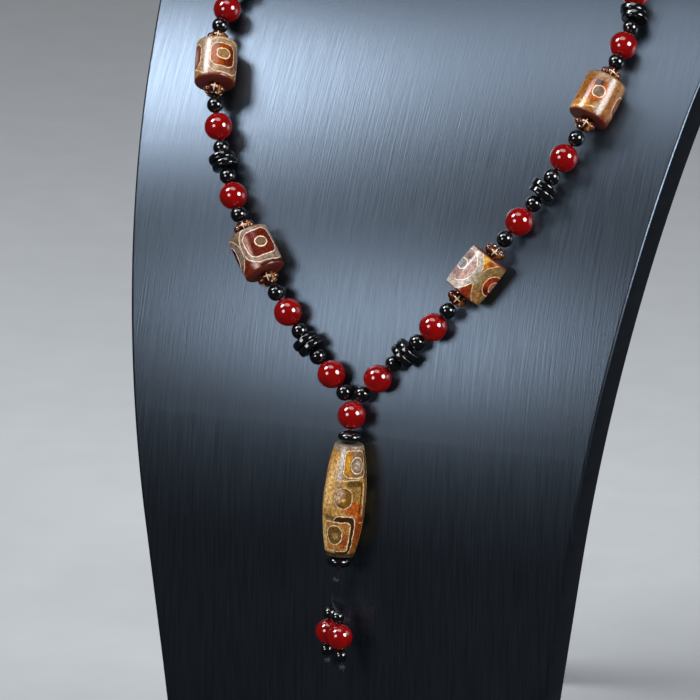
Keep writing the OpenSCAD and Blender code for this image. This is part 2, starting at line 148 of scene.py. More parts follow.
LOWER_RIGHT = [
    (1, 7.4, 0, 4.4, 4.2, 0.6, 0, 0.2, 1, "ba6820"),
    (-0.8, 6.6, 20, 1.4, 2.2, 1.2, 0, 0.5, 1, "d09a34"),
    (2, 6.4, 0, 0.9, 0.9, 0.8, 0, 0.5, 0.8, "6a240c"),
    (1.4, -7.4, 0, 4.4, 4.2, 0.6, 0, 0.2, 1, "742408"),
    # The ring's own pale fill, lightened with a painted reflection: the broad haze of the lamps' shine on
    # this side.
    (-7.6, 0.4, 0, 8.5, 8.7, 8.2, 0, 0.25, 1, "b6a698"),
    (-7.6, 0.4, 0, 8.5, 8.7, 8.2, 0.34, 0.12, 0.85, "ead2ae"),
    (9.4, 0, 0, 8.4, 8.7, 8.1, 0, 0.25, 1, "7c5e34"),
    (9.4, 0, 0, 8.4, 8.7, 8.1, 0.36, 0.12, 0.9, "dcb482"),
    (0.9, 0, 0, 1.3, 2.5, 1.2, 0, 0.5, 1, "94866c"),
    (2.6, 2, 20, 1.4, 2.2, 1.3, 0, 1, 0.6, "826a42"),
    (5, -5.2, 20, 3, 1.8, 1.6, 0, 0.8, 0.8, "8e5f34"),
    # The eye's own pale fill, also lightened with painted reflection haze.
    (-7.6, 0.5, 0, 6.3, 5.9, 5.4, 0, 0.2, 0.95, "ab877d"),
    (-7, 4, -10, 3, 1.2, 1.1, 0, 0.6, 0.75, "66504a"),
    (-8, -2.9, 6, 3.4, 1.1, 1, 0, 0.5, 0.75, "86645c"),
    (-3, -1.4, 20, 1.3, 2.4, 1.2, 0, 0.8, 0.6, "b58876"),
    (-7.6, 0.5, 0, 6.3, 5.9, 5.4, 0.34, 0.12, 1, "f0dcc4"),
    (-7.6, 0.6, 0, 2.6, 1.8, 1.8, 0, 0.12, 1, "908682"),
    (-7.6, 0.6, 0, 2.65, 1.85, 1.85, 0.38, 0.12, 1, "f4e6da"),
    (9.4, 0.4, 0, 5.2, 3.9, 3.8, 0, 0.15, 1, "742008"),
    (6, 1.2, 20, 1.3, 1.9, 1.2, 0, 0.8, 0.7, "963010"),
    (6.4, -2.2, -30, 1.8, 1, 0.9, 0, 0.6, 0.8, "3c0e08"),
    (9.4, 0.4, 0, 5.2, 3.9, 3.8, 0.36, 0.12, 1, "e4aa80"),
    (9.6, 0.3, 0, 2.5, 2, 2, 0, 0.12, 1, "9c5c3e"),
    (9.6, 0.3, 0, 2.5, 2, 2, 0.34, 0.12, 1, "e2bc9a"),
    (-19.5, 0.4, 0, 3.4, 4.4, 3.2, 0, 0.15, 1, "742008"),
    (-19.5, 0.4, 0, 3.4, 4.4, 3.2, 0.36, 0.12, 1, "e4aa80"),
    (19.4, 0.4, 0, 3, 5, 2.8, 0.36, 0.12, 0.9, "e2bc9a"),
]
UPPER_RIGHT = [
    (0, 7.1, 0, 23, 1.2, 0.8, 0, 0.5, 0.8, "8c6c44"),
    (6, -7.3, -2, 6, 1.3, 1, 0, 0.5, 0.9, "6c2a10"),
    (-6.4, -5.8, -14, 4, 1.7, 1.4, 0, 0.8, 0.95, "c08440"),
    (-3.6, -6.1, -12, 4.6, 0.18, 0.18, 0, 0.14, 0.9, "ecc48c"),
    (-7.2, 1.6, 10, 1.6, 4.6, 1.5, 0, 1, 0.6, "96581f"),
    (5, -0.8, -10, 1.6, 2.6, 1.5, 0, 0.9, 0.7, "844c22"),
    (5.6, 4.6, 30, 1.6, 2, 1.4, 0, 0.8, 0.6, "8a5e2c"),
    # Painted highlight: a pale upright band, at half strength, where the right lamp's reflection falls.
    (1.6, 0, -2, 2, 7.4, 1.8, 0, 0.7, 0.5, "a08c74"),
    (-1.5, 0.6, 6, 3.7, 4, 3.2, 0, 0.3, 1, "a04a12"),
    (-3.4, -1.6, 30, 1.2, 1.7, 1.1, 0, 0.6, 0.7, "b05c20"),
    (-2.2, 3.4, 4, 1.5, 1.3, 0.4, 0, 0.2, 1, "381410"),
    (-0.9, 0.4, 0, 2.2, 2.1, 1.9, 0, 0.2, 1, "785a44"),
    (-0.9, 0.4, 0, 2.2, 2.1, 1.9, 0.36, 0.12, 1, "e8c8a0"),
    (10.6, -0.3, 0, 3.6, 4, 2.8, 0, 0.2, 0.85, "7c3810"),
    (10.6, -0.3, 0, 3.6, 4, 2.8, 0.34, 0.12, 0.9, "dcb88c"),
    (10.6, -0.3, 0, 1.5, 1.5, 1.5, 0, 0.15, 1, "785a44"),
    (-13, 0.2, 0, 3.8, 4.2, 3, 0, 0.2, 0.9, "8a400f"),
    (-13, 0.2, 0, 3.8, 4.2, 3, 0.34, 0.12, 0.9, "dcb88c"),
    (-13, 0.2, 0, 1.7, 1.7, 1.7, 0, 0.12, 1, "806448"),
    (20, 0, 0, 2.8, 4.2, 2.6, 0, 0.2, 0.9, "843c10"),
    (20, 0, 0, 2.8, 4.2, 2.6, 0.34, 0.12, 0.9, "dcb88c"),
]
LONG_BEAD = [
    (0, 18.9, 0, 23, 1.3, 0.8, 0, 0.5, 0.85, "8a7a68"),
    (-6.4, 3, 4, 2, 6.2, 1.8, 0, 1.2, 0.9, "ecbc74"),
    (-6.2, -3.6, -8, 2.2, 2, 1.9, 0, 1.2, 0.6, "946a30"),
    (-7.6, -13, 0, 2, 4, 1.8, 0, 1.2, 0.9, "dcb068"),
    (-6, 12, 4, 1.8, 3.6, 1.6, 0, 1.2, 0.7, "e0ac68"),
    (9.8, 1.6, 0, 1.8, 8.6, 1.6, 0, 0.9, 0.9, "54300f"),
    (7.4, -11.5, 0, 2.6, 7, 1.8, 0, 0.8, 0.95, "82300e"),
    (6.4, -15.6, 0, 2, 2.2, 1.4, 0, 1, 0.8, "7c4c18"),
    (4, -2, 20, 3.4, 2.6, 1.8, 0, 0.8, 0.95, "ac4a10"),
    (4, 3, 0, 1.7, 2.4, 1.4, 0, 0.8, 0.7, "785420"),
    (3.6, 6.8, 0, 3.2, 1.4, 1.1, 0, 0.6, 0.9, "4c3810"),
    (-3.2, -5.7, 0, 4.4, 1, 0.9, 0, 0.7, 0.85, "5c4426"),
    (-2.4, 3, 0, 1.5, 5, 1.4, 0, 1.2, 0.5, "8c7058"),
    # Painted highlight: a pale upright streak on the upper left, where the left lamps' reflection falls.
    (-2.5, 13, 2, 1.1, 5.6, 1, 0, 0.6, 0.8, "b8b0a2"),
    (3.4, 13.4, 0, 4.8, 4.8, 1.8, 0, 0.4, 0.8, "704f38"),
    (8.6, 13.4, 0, 1.8, 5, 1.4, 0, 0.7, 0.95, "4a2e1e"),
    (0.5, 13.8, 0, 1.6, 4.1, 0.9, 0, 0.4, 1, "a8701c"),
    (0.2, 14, 0, 0.8, 2.6, 0.7, 0, 0.6, 0.8, "d09430"),
    (3.4, 13.6, 0, 4.6, 4.6, 1.8, 0.36, 0.12, 1, "e6cba0"),
    (2.2, 8.1, -6, 3.6, 0.16, 0.16, 0, 0.12, 0.9, "e6cba0"),
    (4.2, 13.2, 0, 2.7, 2.8, 2.7, 0, 0.25, 1, "7c6450"),
    (4.2, 13.2, 0, 1.4, 1.4, 1.4, 0, 0.7, 0.8, "c0a890"),
    (4.2, 13.2, 0, 2.7, 2.8, 2.7, 0.36, 0.12, 1, "ecd2aa"),
    (-0.4, 1.6, 0, 3.1, 3.7, 3.1, 0, 0.25, 0.95, "704810"),
    (-1.8, 2.4, 20, 1.3, 2.2, 1.1, 0, 0.8, 0.85, "c8a484"),
    (-0.4, 1.6, 0, 3.1, 3.7, 3.1, 0.34, 0.12, 0.85, "d8c090"),
    (-0.2, 0.9, 0, 0.6, 0.6, 0.6, 0, 0.3, 1, "f0c45c"),
    (0.6, -11.8, 0, 4.3, 7, 2.6, 0, 0.3, 1, "361808"),
    (0.6, -11.8, 0, 4.3, 7, 2.6, 0.34, 0.12, 1, "e6cba0"),
    (-2, -12.2, 0, 5, 5.2, 1.2, 0, 0.25, 1, "ac6e30"),
    (1.2, -13.6, 10, 1.6, 2.6, 1.4, 0, 0.9, 0.9, "8a3c18"),
    (-2, -12.2, 0, 5.1, 5.2, 1.3, 0.36, 0.12, 1, "e2c894"),
    (-2.9, -11.7, 0, 3.2, 3.5, 3.2, 0, 0.25, 1, "6c4c1c"),
    (-2.4, -12.1, 0, 1.1, 1, 0.9, 0, 0.7, 0.8, "a08458"),
    (-2.9, -11.7, 0, 3.2, 3.5, 3.2, 0.34, 0.12, 1, "e6cfa0"),
    (-5.1, 11, 19, 0.2, 3.8, 0.2, 0, 0.12, 0.95, "e6cba8"),
    (-4.2, 11.4, 8, 0.14, 2.2, 0.14, 0, 0.12, 0.8, "d8b488"),
    (6.4, 1.8, 2, 0.5, 5.6, 0.4, 0, 0.3, 0.9, "4a2a14"),
    (7.6, 1.4, 0, 0.17, 5.6, 0.17, 0, 0.12, 0.95, "e6d2b0"),
    (8.4, -7.2, 0, 1.6, 0.17, 0.17, 0, 0.12, 0.9, "dca474"),
    (-9.4, -9.5, 0, 0.2, 7, 0.2, 0, 0.12, 0.8, "dcc296"),
    (-12.4, 6, 0, 2.9, 3.2, 2.9, 0, 0.25, 1, "5a3a14"),
    (-12.4, 6, 0, 2.9, 3.2, 2.9, 0.34, 0.12, 1, "dcc79c"),
    (-14.6, -7, 0, 3, 3.2, 3, 0, 0.25, 1, "5a3a14"),
    (-14.6, -7, 0, 3, 3.2, 3, 0.34, 0.12, 1, "dcc79c"),
    (-15.5, -7, 0, 4.7, 5.6, 1.4, 0.36, 0.12, 0.9, "dcc296"),
    (14.2, 5, 0, 3, 3.2, 3, 0, 0.25, 1, "5a3a14"),
    (14.2, 5, 0, 3, 3.2, 3, 0.34, 0.12, 1, "dcc79c"),
    (14.4, 5, 0, 4.4, 5.6, 1.4, 0.36, 0.12, 0.9, "dcc296"),
    (15.6, -9, 0, 3, 3.2, 3, 0, 0.25, 1, "5a3a14"),
    (15.6, -9, 0, 3, 3.2, 3, 0.34, 0.12, 1, "dcc79c"),
    (0, -19, 0, 23, 0.9, 0.7, 0, 0.4, 0.95, "1c0e08"),
]
# Each barrel's drawing, how far it is turned round the bead in degrees, and its two ground colours
BARRELS = {
    "dzi_left_1": (LOWER_LEFT, 0, "8a7050", "66543c"),
    "dzi_left_2": (UPPER_LEFT, 0, "a8845f", "8c6840"),
    "dzi_left_3": (LOWER_RIGHT, 200, "84704e", "6c5834"),
    "dzi_left_4": (UPPER_RIGHT, 60, "925a24", "7c4c1c"),
    "dzi_right_1": (LOWER_RIGHT, 0, "84704e", "6c5834"),
    "dzi_right_2": (UPPER_RIGHT, 0, "925a24", "7c4c1c"),
    "dzi_right_3": (LOWER_LEFT, 150, "8a7050", "66543c"),
    "dzi_right_4": (UPPER_LEFT, 240, "a8845f", "8c6840"),
}


def linear(hex_colour):
    """Turns an sRGB hex colour into the linear, opaque colour that the shaders take."""
    parts = [int(hex_colour[i:i + 2], 16) / 255 for i in (0, 2, 4)]
    return tuple(v / 12.92 if v <= 0.04045 else ((v + 0.055) / 1.055) ** 2.4 for v in parts) + (1.0,)


def add(tree, kind, inputs=None, **settings):
    """Adds a node to a material's tree, sets it, and sets or links its inputs."""
    node = tree.nodes.new(kind)
    for name, value in settings.items():
        setattr(node, name, value)
    for name, value in (inputs or {}).items():
        if isinstance(value, bpy.types.NodeSocket):
            tree.links.new(value, node.inputs[name])
        else:
            node.inputs[name].default_value = value
    return node


def new_material(name, **surface):
    """Makes a material with one Principled surface, and gives it, its tree and the surface's node."""
    material = bpy.data.materials.new(name)
    material.use_nodes = True
    tree = material.node_tree
    tree.nodes.clear()
    shader = add(tree, "ShaderNodeBsdfPrincipled")
    for socket, value in surface.items():
        shader.inputs[socket.replace("_", " ")].default_value = value
    add(tree, "ShaderNodeOutputMaterial", {"Surface": shader.outputs[0]})
    return material, tree, shader


# Geometry


def select_only(*objects):
    """Selects these objects and nothing else, and makes the first one active."""
    for o in bpy.context.view_layer.objects:
        o.select_set(False)
    for o in objects:
        o.select_set(True)
    bpy.context.view_layer.objects.active = objects[0] if objects else None


def pick(piece, faces=None, edges=None, points=None):
    """Selects in edit mode the faces, edges or points of a piece that pass a test on their places."""
    bpy.ops.object.mode_set(mode="OBJECT")
    mesh = piece.data
    for group in (mesh.vertices, mesh.edges, mesh.polygons):
        group.foreach_set("select", [False] * len(group))
    co = [v.co for v in mesh.vertices]
    kind, group, test = (("FACE", mesh.polygons, faces) if faces else
                         ("EDGE", mesh.edges, edges) if edges else ("VERT", mesh.vertices, points))
    for item in group:
        ends = [co[item.index]] if kind == "VERT" else [co[i] for i in item.vertices]
        item.select = all(test(p) for p in ends)
    bpy.ops.object.mode_set(mode="EDIT")
    bpy.ops.mesh.select_mode(type=kind)


def from_axis(p):
    """How far a point lies from the Z axis."""
    return math.hypot(p.x, p.y)


def sink_bore(piece, radius, depth):
    """Sinks the middle of both ends of a bead drawn on the Z axis, as the mouths of its bore."""
    for side in (1, -1):
        pick(piece, faces=lambda p: side * p.z > 0 and from_axis(p) < radius + NEAR)
        bpy.ops.mesh.extrude_region_move(
            TRANSFORM_OT_translate={"value": (0, 0, -side * depth), "orient_type": "GLOBAL"})
    bpy.ops.object.mode_set(mode="OBJECT")


def model_ball(name, radius, bore, rings=28, segments=48):
    """A round bead: a turned ball with the two mouths of its bore."""
    select_only()
    bpy.ops.mesh.primitive_uv_sphere_add(segments=segments, ring_count=rings, radius=radius)
    ball = bpy.context.object
    ball.name = name
    mouth = max(bore / 2, radius * math.sin(math.pi / rings))
    mouth_depth = 0.3 * radius
    sink_bore(ball, mouth, mouth_depth)
    return ball


def model_turned(name, length, middle_d, end_d, rim, bore, levels):
    """A dzi: a turned bar that swells towards its middle, with rounded rims and the mouths of its bore."""
    mouth_depth = 3 * MM
    face_ring = end_d / 2 - 1.5 * bore
    select_only()
    bpy.ops.mesh.primitive_cylinder_add(vertices=64, radius=end_d / 2, depth=length)
    bar = bpy.context.object
    bar.name = name
    for side in (1, -1):
        pick(bar, faces=lambda p: side * p.z > length / 2 - NEAR)
        bpy.ops.mesh.inset(thickness=face_ring)
        bpy.ops.mesh.inset(thickness=bore)
    sink_bore(bar, bore / 2, mouth_depth)
    pick(bar, edges=lambda p: abs(p.z) > length / 2 - NEAR and from_axis(p) > end_d / 2 - 10 * NEAR)
    bpy.ops.mesh.bevel(offset=rim, segments=4, affect="EDGES")
    straight = length / 2 - rim
    heights = [straight * (2 * k / levels - 1) for k in range(1, levels)]
    for height in heights:
        bpy.ops.mesh.select_all(action="SELECT")
        bpy.ops.mesh.bisect(plane_co=(0, 0, height), plane_no=(0, 0, 1))
    for height in heights:
        swell = (middle_d - (middle_d - end_d) * (height / straight) ** 2) / end_d
        pick(bar, points=lambda p: abs(p.z - height) < NEAR and from_axis(p) > bore)
        bpy.ops.transform.resize(value=(swell, swell, 1), center_override=(0, 0, height))
    bpy.ops.object.mode_set(mode="OBJECT")
    return bar


def model_disc(name, diameter, thickness, bevel, bore):
    """A flat black disc: a slice with rounded rims and the two mouths of its hole."""
    mouth_depth = 0.4 * thickness
    select_only()
    bpy.ops.mesh.primitive_cylinder_add(vertices=56, radius=diameter / 2, depth=thickness)
    disc = bpy.context.object
    disc.name = name
    pick(disc, edges=lambda p: abs(p.z) > thickness / 2 - NEAR)
    bpy.ops.mesh.bevel(offset=bevel, segments=3, affect="EDGES")
    for side in (1, -1):
        pick(disc, faces=lambda p: side * p.z > thickness / 2 - NEAR)
        bpy.ops.mesh.inset(thickness=diameter / 2 - bevel - bore / 2)
    sink_bore(disc, bore / 2, mouth_depth)
    return disc


def model_rondelle(name, diameter, thickness, bore):
    """A rondelle: a ball pressed flat, fuller at its shoulders than an egg shape."""
    rings = 24
    rondelle = model_ball(name, diameter / 2, bore, rings)
    pick(rondelle, points=lambda p: True)
    bpy.ops.transform.resize(value=(1, 1, thickness / diameter), center_override=(0, 0, 0))
    for k in range(2, rings - 1):
        slope = math.pi * (k / rings - 0.5)
        height = thickness / 2 * math.sin(slope)
        fuller = math.cos(slope) ** -0.2
        pick(rondelle, points=lambda p: abs(p.z - height) < 2 * NEAR and from_axis(p) > bore)
        bpy.ops.transform.resize(value=(fuller, fuller, 1), center_override=(0, 0, height))
    bpy.ops.object.mode_set(mode="OBJECT")
    return rondelle


def model_flower(name, sizes):
    """A flower spacer: round petals and a hub, grown into each other and bored."""
    cells_across_petal = 17
    select_only()
    bpy.ops.mesh.primitive_cylinder_add(vertices=40, radius=sizes.hub_d / 2, depth=sizes.hub_l)
    flower = bpy.context.object
    flower.name = name
    parts = [flower]
    for i in range(sizes.petals):
        angle = 2 * math.pi * i / sizes.petals
        at = (sizes.petal_r * math.cos(angle), sizes.petal_r * math.sin(angle), 0)
        select_only()
        bpy.ops.mesh.primitive_uv_sphere_add(segments=32, ring_count=20, radius=sizes.petal_d / 2,
                                             location=at)
        parts.append(bpy.context.object)
    select_only(*parts)
    bpy.ops.object.join()
    for kind, settings in (("REMESH", {"mode": "VOXEL", "voxel_size": sizes.petal_d / cells_across_petal}),
                           ("SMOOTH", {"factor": 0.5, "iterations": 4})):
        modifier = flower.modifiers.new(kind.lower(), kind)
        for key, value in settings.items():
            setattr(modifier, key, value)
        bpy.ops.object.modifier_apply(modifier=modifier.name)
    select_only()
    bpy.ops.mesh.primitive_cylinder_add(vertices=20, radius=sizes.bore / 2, depth=2 * sizes.hub_l)
    drill = bpy.context.object
    select_only(flower)
    modifier = flower.modifiers.new("bore", "BOOLEAN")
    modifier.operation = "DIFFERENCE"
    modifier.object = drill
    bpy.ops.object.modifier_apply(modifier=modifier.name)
    bpy.data.objects.remove(drill)
    return flower


def bead_places(node):
    """Middle and direction of each drilled bead of a CAD node, read from the walls of its bore."""
    # Triangles smaller than this, in square metres, have no direction worth reading
    no_area = 1e-14
    mesh = frame["nodes"][node].data
    mesh.calc_loop_triangles()
    co = np.array([v.co for v in mesh.vertices])
    corners = np.array([t.vertices for t in mesh.loop_triangles])
    welded, same = np.unique(np.round(co, 7), axis=0, return_inverse=True)
    corners = same.reshape(-1)[corners]
    label = np.arange(len(welded))
    while True:
        low = label[corners].min(1)
        after = label.copy()
        np.minimum.at(after, corners, np.repeat(low[:, None], 3, 1))
        if (after == label).all():
            break
        label = after
    whose = label[corners[:, 0]]
    places = []
    for one in np.unique(whose):
        tris = welded[corners[whose == one]]
        normals = np.cross(tris[:, 1] - tris[:, 0], tris[:, 2] - tris[:, 0])
        weight = np.linalg.norm(normals, axis=1)
        middles = tris.mean(1)
        centre = (middles * weight[:, None]).sum(0) / weight.sum()
        units = normals / np.maximum(weight, no_area)[:, None]
        facing = ((middles - centre) * units).sum(1)
        wall = (facing < 0) & (weight > no_area)
        spread = (units[wall] * weight[wall, None]).T @ units[wall]
        axis = np.linalg.eigh(spread)[1][:, 0]
        if axis[2] < 0:
            axis = -axis
        places.append((Vector(centre), Vector(axis)))
    return places


def to_camera():
    """Direction from the object towards the photograph's camera."""
    return Vector((math.sin(CAMERA_TURN) * math.cos(CAMERA_DOWN),
                   -math.cos(CAMERA_TURN) * math.cos(CAMERA_DOWN), math.sin(CAMERA_DOWN)))


def bead_matrix(place, turn=0.0):
    """Takes a bead drawn round Z, with X to the camera, to its place, turned about its own axis."""
    middle, axis = place
    camera = CAMERA_AIM + to_camera() * CAMERA_AWAY
    front = camera - middle
    front = (front - front.dot(axis) * axis).normalized()
    side = axis.cross(front)
    turned = Matrix((front, side, axis)).transposed().to_4x4()
    return Matrix.Translation(middle) @ turned @ Matrix.Rotation(turn, 4, "Z")


def keep_own_places(piece):
    """Stores each point's place on its own bead, in millimetres, for patterns that follow the bead."""
    own = piece.data.attributes.new("own_place", "FLOAT_VECTOR", "POINT")
    flat = np.zeros(len(piece.data.vertices) * 3, np.float32)
    piece.data.vertices.foreach_get("co", flat)
    own.data.foreach_set("vector", flat / MM)


def lay_copies(master, name, places, turns=None):
    """Copies a modelled bead to each place, joins the copies and gives the one piece."""
    copies = []
    for i, place in enumerate(places):
        select_only(master)
        bpy.ops.object.duplicate(linked=False)
        copy = bpy.context.object
        copy.data.transform(bead_matrix(place, turns[i] if turns else 0))
        copies.append(copy)
    select_only(*copies)
    if len(copies) > 1:
        bpy.ops.object.join()
    piece = bpy.context.object
    piece.name = name
    piece.data.name = name
    return piece


def finish_piece(piece, node, material, smooth=math.radians(40)):
    """Gives a piece its shading and finish, and puts it in place of its CAD node."""
    select_only(piece)
    bpy.ops.object.shade_smooth_by_angle(angle=smooth)
    piece.data.materials.clear()
    piece.data.materials.append(material)
    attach(piece, "root")
    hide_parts(node)


def drop_master(master):
    """Takes away the bead that the copies were made from."""
    bpy.data.objects.remove(master)


# Finishes


def red_agate():
    """Heated red agate, tumbled to a mirror: deep red with a little light inside, and sharp highlights."""
    look = bpy.context.scene.bead_looks
    material, tree, shader = new_material(
        "red agate, polished", Roughness=0.05, IOR=1.54, Subsurface_Weight=0.25,
        Subsurface_Radius=(1.0, 0.06, 0.04), Subsurface_Scale=0.002, Coat_Weight=0.5, Coat_Roughness=0.03)
    own = add(tree, "ShaderNodeAttribute", attribute_name="own_place")
    cloud = add(tree, "ShaderNodeTexNoise", {"Vector": own.outputs["Vector"], "Scale": 0.22, "Detail": 3.0})
    tint = add(tree, "ShaderNodeMix", {0: cloud.outputs["Fac"], 6: tuple(look.red_deep) + (1,),
                                       7: tuple(look.red_bright) + (1,)}, data_type="RGBA")
    tree.links.new(tint.outputs[2], shader.inputs["Base Color"])
    return material


def black_onyx():
    """Dyed onyx, tumbled to a mirror: black, with sharp highlights and the faintest haze."""
    look = bpy.context.scene.bead_looks
    material, tree, shader = new_material(
        "black onyx, polished", IOR=1.54, Coat_Weight=0.5, Coat_Roughness=0.03)
    own = add(tree, "ShaderNodeAttribute", attribute_name="own_place")
    cloud = add(tree, "ShaderNodeTexNoise", {"Vector": own.outputs["Vector"], "Scale": 0.5, "Detail": 4.0})
    tint = add(tree, "ShaderNodeMix", {0: cloud.outputs["Fac"], 6: tuple(look.onyx) + (1,),
                                       7: linear("0b0b0d")}, data_type="RGBA")
    haze = add(tree, "ShaderNodeMapRange", {"Value": cloud.outputs["Fac"], "To Min": 0.03, "To Max": 0.1})
    tree.links.new(tint.outputs[2], shader.inputs["Base Color"])
    tree.links.new(haze.outputs[0], shader.inputs["Roughness"])
    return material


def unroll(tree, own, radius, repeat=0.0):
    """Gives the place round and along a bead, and its height. The way round may repeat by an angle."""
    parts = add(tree, "ShaderNodeSeparateXYZ", {0: own})
    angle = add(tree, "ShaderNodeMath", {0: parts.outputs[1], 1: parts.outputs[0]}, operation="ARCTAN2")
    if repeat:
        angle = add(tree, "ShaderNodeMath", {0: angle.outputs[0], 1: repeat / 2, 2: -repeat / 2},
                    operation="WRAP")
    across = add(tree, "ShaderNodeMath", {0: angle.outputs[0], 1: radius}, operation="MULTIPLY")
    flat = add(tree, "ShaderNodeCombineXYZ", {0: across.outputs[0], 1: parts.outputs[2]})
    return flat.outputs[0], parts.outputs[2]


def draw_shape(tree, ground, place, row):
    """Lays one row of a drawing over a colour, as a filled rounded shape or as its outline."""
    across, along, turn, half_w, half_h, corner, line, soft, strength, colour = row
    moved = add(tree, "ShaderNodeVectorMath", {0: place, 1: (across, along, 0)}, operation="SUBTRACT")
    turned = add(tree, "ShaderNodeVectorRotate", {"Vector": moved.outputs[0], "Angle": math.radians(turn)},
                 rotation_type="Z_AXIS")
    folded = add(tree, "ShaderNodeVectorMath", {0: turned.outputs[0]}, operation="ABSOLUTE")
    core = (half_w - corner, half_h - corner, 0)
    past = add(tree, "ShaderNodeVectorMath", {0: folded.outputs[0], 1: core}, operation="SUBTRACT")
    outside = add(tree, "ShaderNodeVectorMath", {0: past.outputs[0], 1: (0, 0, 0)}, operation="MAXIMUM")
    reach = add(tree, "ShaderNodeVectorMath", {0: outside.outputs[0]}, operation="LENGTH")
    edge = add(tree, "ShaderNodeMath", {0: reach.outputs[1], 1: corner}, operation="SUBTRACT").outputs[0]
    if line:
        away = add(tree, "ShaderNodeMath", {0: edge}, operation="ABSOLUTE").outputs[0]
        edge = add(tree, "ShaderNodeMath", {0: away, 1: line / 2}, operation="SUBTRACT").outputs[0]
        # The soda darkens a narrow margin on both sides of a line
        burnt = add(tree, "ShaderNodeMapRange", {"Value": edge, "From Min": 0.4, "From Max": 0.1,
                                                 "To Min": 0.0, "To Max": 0.4 * strength})
        ground = add(tree, "ShaderNodeMix", {0: burnt.outputs[0], 6: ground, 7: linear("3a1a0c")},
                     data_type="RGBA").outputs[2]
    mask = add(tree, "ShaderNodeMapRange", {"Value": edge, "From Min": soft, "From Max": -soft,
                                            "To Min": 0.0, "To Max": strength})
    mix = add(tree, "ShaderNodeMix", {0: mask.outputs[0], 6: ground, 7: linear(colour)}, data_type="RGBA")
    return mix.outputs[2]


def flower_agate(radius):
    """Brown agate with lines etched in pale soda: translucent lobes, cream crosses, amber at the edges."""
    material, tree, shader = new_material(
        "brown agate with etched lines, polished", Roughness=0.1, IOR=1.54, Subsurface_Weight=0.3,
        Subsurface_Radius=(1.0, 0.4, 0.12), Subsurface_Scale=0.0015, Coat_Weight=0.15, Coat_Roughness=0.06)
    own = add(tree, "ShaderNodeAttribute", attribute_name="own_place")
    cloud = add(tree, "ShaderNodeTexNoise", {"Vector": own.outputs["Vector"], "Scale": 0.5, "Detail": 3.0})
    ground = add(tree, "ShaderNodeMix", {0: cloud.outputs["Fac"], 6: linear("100302"), 7: linear("340e05")},
                 data_type="RGBA")
    # Three crosses round the spacer
    place = unroll(tree, own.outputs["Vector"], radius, repeat=2 * math.pi / 3)[0]
    colour = ground.outputs[2]
    for row in ((2.6, -0.6, 0, 1, 1.4, 0.9, 0, 0.8, 0.7, "8c4a12"),
                (-2.8, 0.4, 0, 0.8, 1.2, 0.7, 0, 0.8, 0.5, "70300c"),
                (0, 0, 8, 0.17, 1.6, 0.17, 0, 0.12, 0.95, "e2bc94"),
                (0, 0.1, 8, 1.6, 0.17, 0.17, 0, 0.12, 0.95, "e2bc94"),
                (4, 0, 0, 1.6, 1.5, 1.4, 0.28, 0.12, 0.7, "c8966a")):
        colour = draw_shape(tree, colour, place, row)
    tree.links.new(colour, shader.inputs["Base Color"])
    return material


